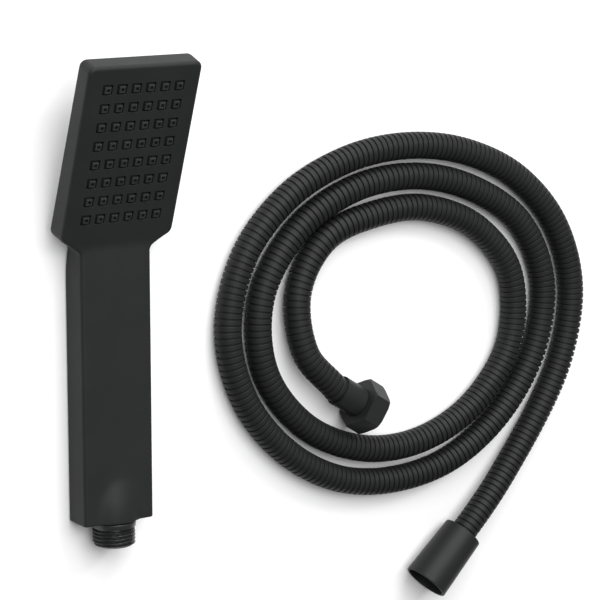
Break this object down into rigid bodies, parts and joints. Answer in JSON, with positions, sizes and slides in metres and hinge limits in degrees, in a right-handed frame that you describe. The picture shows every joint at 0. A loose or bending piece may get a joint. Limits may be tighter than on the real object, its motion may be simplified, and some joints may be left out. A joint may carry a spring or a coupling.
{
  "type": "handheld shower head with hose",
  "caption": "Slim square handheld shower head with silicone nozzles, check valve and threaded inlet, with its coiled ribbed hose, cone nut and wall nut.",
  "frame": {"origin": "middle of the handset's footprint, on the surface its flat back lies on", "axes": "+X across the handset, +Y from the inlet to the head, +Z out of the handle's front"},
  "size_m": [0.3222, 0.2988, 0.049],
  "materials": {
    "shell_plastic": "satin black moulded plastic",
    "silicone": "matt dark silicone",
    "inner_plastic": "plain grey moulded plastic",
    "clear_plastic": "pale glossy plastic",
    "black_brass": "brass with a satin black coat",
    "hose_metal": "black coated ribbed metal strip over a liner",
    "steel": "plain stainless steel",
    "seal_rubber": "matt black sealing rubber"
  },
  "bodies": {
    "handset": {"front_shell": "shell_plastic", "rear_cover": "shell_plastic", "nozzle_mat": "silicone", "spray_plate": "inner_plastic", "chamber_gasket": "seal_rubber", "chamber_cover": "inner_plastic", "plate_screw_1": "steel", "plate_screw_2": "steel", "plate_screw_3": "steel", "plate_screw_4": "steel", "inlet_duct": "inner_plastic", "water_tube": "clear_plastic", "tube_seal_top": "seal_rubber", "tube_seal_bottom": "seal_rubber", "inlet_spigot": "black_brass", "spigot_seal": "seal_rubber", "spigot_clip": "steel", "filter_screen": "steel", "flow_restrictor": "clear_plastic", "valve_seat": "inner_plastic", "valve_spring": "steel", "valve_guide": "inner_plastic"},
    "valve": {"valve_poppet": "inner_plastic"},
    "hose": {"hose": "hose_metal", "cone_stem": "black_brass", "cone_ferrule": "black_brass", "cone_washer": "seal_rubber", "wall_stem": "black_brass", "wall_ferrule": "black_brass", "wall_washer": "seal_rubber"},
    "cone_nut": {"cone_nut": "black_brass"},
    "wall_nut": {"wall_nut": "black_brass"}
  },
  "joints": [
    {"name": "valve_slide", "type": "slide", "parent": "handset", "child": "valve", "axis": [0, 1, 0], "range_m": [0, 0.0025], "stiffness_N_per_m": 120, "deforming": ["valve_spring"]},
    {"name": "hose_lift", "type": "slide", "parent": "handset", "child": "hose", "axis": [0, 0, 1], "range_m": [0, 0.25]},
    {"name": "cone_nut_spin", "type": "hinge", "parent": "hose", "child": "cone_nut", "pos_m": [0.1963, -0.16143, 0.0121], "axis": [-0.7137, -0.7005, 0], "continuous": true},
    {"name": "wall_nut_spin", "type": "hinge", "parent": "hose", "child": "wall_nut", "pos_m": [0.14074, -0.06613, 0.0121], "axis": [0.8387, -0.5446, 0], "continuous": true}
  ]
}
